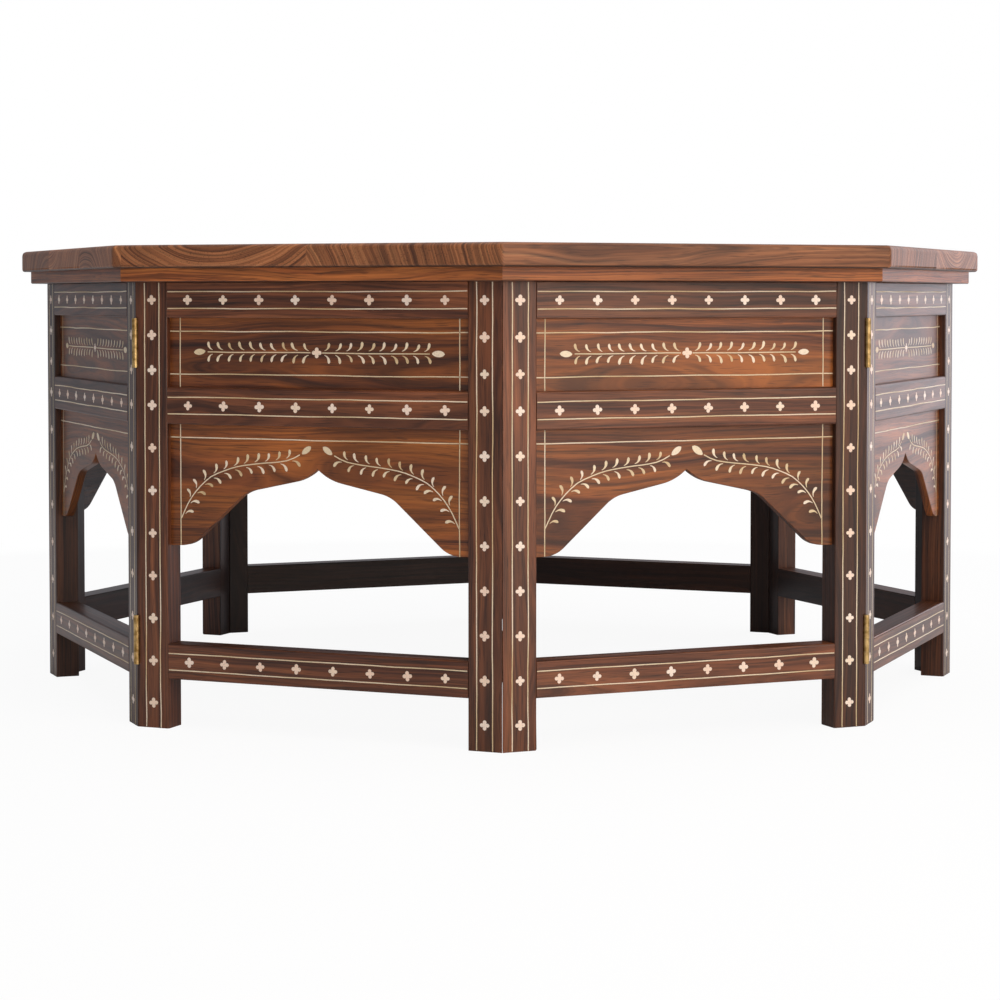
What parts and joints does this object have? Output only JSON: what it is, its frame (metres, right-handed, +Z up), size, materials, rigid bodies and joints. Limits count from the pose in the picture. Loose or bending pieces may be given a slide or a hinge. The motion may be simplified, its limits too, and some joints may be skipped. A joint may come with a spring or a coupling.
{
  "type": "folding octagonal inlaid table",
  "caption": "Low octagonal wooden table with a loose boarded top on a hinged folding base of framed leaves with ogee arches, inlaid with bone lines, flowers and sprays.",
  "frame": {"origin": "centre of the table on the floor, under the middle of the top", "axes": "+Z up; leaf 1 faces -Y and the leaves are numbered anticlockwise seen from above"},
  "size_m": [0.94, 0.94, 0.45],
  "materials": {
    "frame_wood": "dark polished sheesham, satin",
    "panel_wood": "red-brown polished sheesham, satin",
    "top_wood": "golden brown polished sheesham, satin",
    "under_wood": "brown polished sheesham, satin",
    "brass": "aged brass",
    "brass_screws": "plain brass",
    "bone_inlay": "polished camel bone, flush in the wood"
  },
  "bodies": {
    "leaf_1": {"stiles_1": "frame_wood", "rails_1": "frame_wood", "upper_panel_1": "panel_wood", "arch_panel_1": "panel_wood", "hinge_plates_1": "brass", "hinge_pins_1": "brass", "hinge_screws_1": "brass_screws"},
    "leaf_2": {"stiles_2": "frame_wood", "rails_2": "frame_wood", "upper_panel_2": "panel_wood", "arch_panel_2": "panel_wood", "hinge_plates_2": "brass", "hinge_pins_2": "brass", "hinge_screws_2": "brass_screws"},
    "leaf_3": {"stiles_3": "frame_wood", "rails_3": "frame_wood", "upper_panel_3": "panel_wood", "arch_panel_3": "panel_wood", "hinge_plates_3": "brass", "hinge_pins_3": "brass", "hinge_screws_3": "brass_screws"},
    "leaf_4": {"stiles_4": "frame_wood", "rails_4": "frame_wood", "upper_panel_4": "panel_wood", "arch_panel_4": "panel_wood", "hinge_plates_4": "brass", "hinge_pins_4": "brass", "hinge_screws_4": "brass_screws"},
    "leaf_5": {"stiles_5": "frame_wood", "rails_5": "frame_wood", "upper_panel_5": "panel_wood", "arch_panel_5": "panel_wood", "hinge_plates_5": "brass", "hinge_pins_5": "brass", "hinge_screws_5": "brass_screws"},
    "leaf_6": {"stiles_6": "frame_wood", "rails_6": "frame_wood", "upper_panel_6": "panel_wood", "arch_panel_6": "panel_wood", "hinge_plates_6": "brass", "hinge_pins_6": "brass", "hinge_screws_6": "brass_screws"},
    "leaf_7": {"stiles_7": "frame_wood", "rails_7": "frame_wood", "upper_panel_7": "panel_wood", "arch_panel_7": "panel_wood", "hinge_plates_7": "brass", "hinge_pins_7": "brass", "hinge_screws_7": "brass_screws"},
    "leaf_8": {"stiles_8": "frame_wood", "rails_8": "frame_wood", "upper_panel_8": "panel_wood", "arch_panel_8": "panel_wood", "hinge_plates_8": "brass", "hinge_pins_8": "brass", "hinge_screws_8": "brass_screws"},
    "top": {"top_boards": "top_wood", "under_frame": "under_wood", "battens": "under_wood", "top_screws": "brass_screws"}
  },
  "joints": [
    {"name": "fold_leaf_2", "type": "hinge", "parent": "leaf_1", "child": "leaf_2", "pos_m": [0.17413, -0.42038, 0.2], "axis": [0, 0, 1], "range_deg": [0, 128]},
    {"name": "fold_leaf_3", "type": "hinge", "parent": "leaf_2", "child": "leaf_3", "pos_m": [0.44622, -0.18483, 0.2], "axis": [0, 0, -1], "range_deg": [0, 213.4]},
    {"name": "fold_leaf_4", "type": "hinge", "parent": "leaf_3", "child": "leaf_4", "pos_m": [0.42038, 0.17413, 0.2], "axis": [0, 0, 1], "range_deg": [0, 128]},
    {"name": "fold_leaf_5", "type": "hinge", "parent": "leaf_4", "child": "leaf_5", "pos_m": [0.18483, 0.44622, 0.2], "axis": [0, 0, -1], "range_deg": [0, 42.8]},
    {"name": "fold_leaf_8", "type": "hinge", "parent": "leaf_1", "child": "leaf_8", "pos_m": [-0.18483, -0.44622, 0.2], "axis": [0, 0, 1], "range_deg": [0, 42.8]},
    {"name": "fold_leaf_7", "type": "hinge", "parent": "leaf_8", "child": "leaf_7", "pos_m": [-0.42038, -0.17413, 0.2], "axis": [0, 0, -1], "range_deg": [0, 128]},
    {"name": "fold_leaf_6", "type": "hinge", "parent": "leaf_7", "child": "leaf_6", "pos_m": [-0.44622, 0.18483, 0.2], "axis": [0, 0, 1], "range_deg": [0, 213.4]},
    {"name": "top_lift", "type": "slide", "parent": "leaf_1", "child": "top", "axis": [0, 0, 1], "range_m": [0, 0.45]}
  ],
  "couplings": [
    {"joint": "fold_leaf_3", "follows": "fold_leaf_2", "ratio": 1.6667},
    {"joint": "fold_leaf_4", "follows": "fold_leaf_2", "ratio": 1},
    {"joint": "fold_leaf_5", "follows": "fold_leaf_2", "ratio": 0.33333},
    {"joint": "fold_leaf_8", "follows": "fold_leaf_2", "ratio": 0.33333},
    {"joint": "fold_leaf_7", "follows": "fold_leaf_2", "ratio": 1},
    {"joint": "fold_leaf_6", "follows": "fold_leaf_2", "ratio": 1.6667}
  ]
}
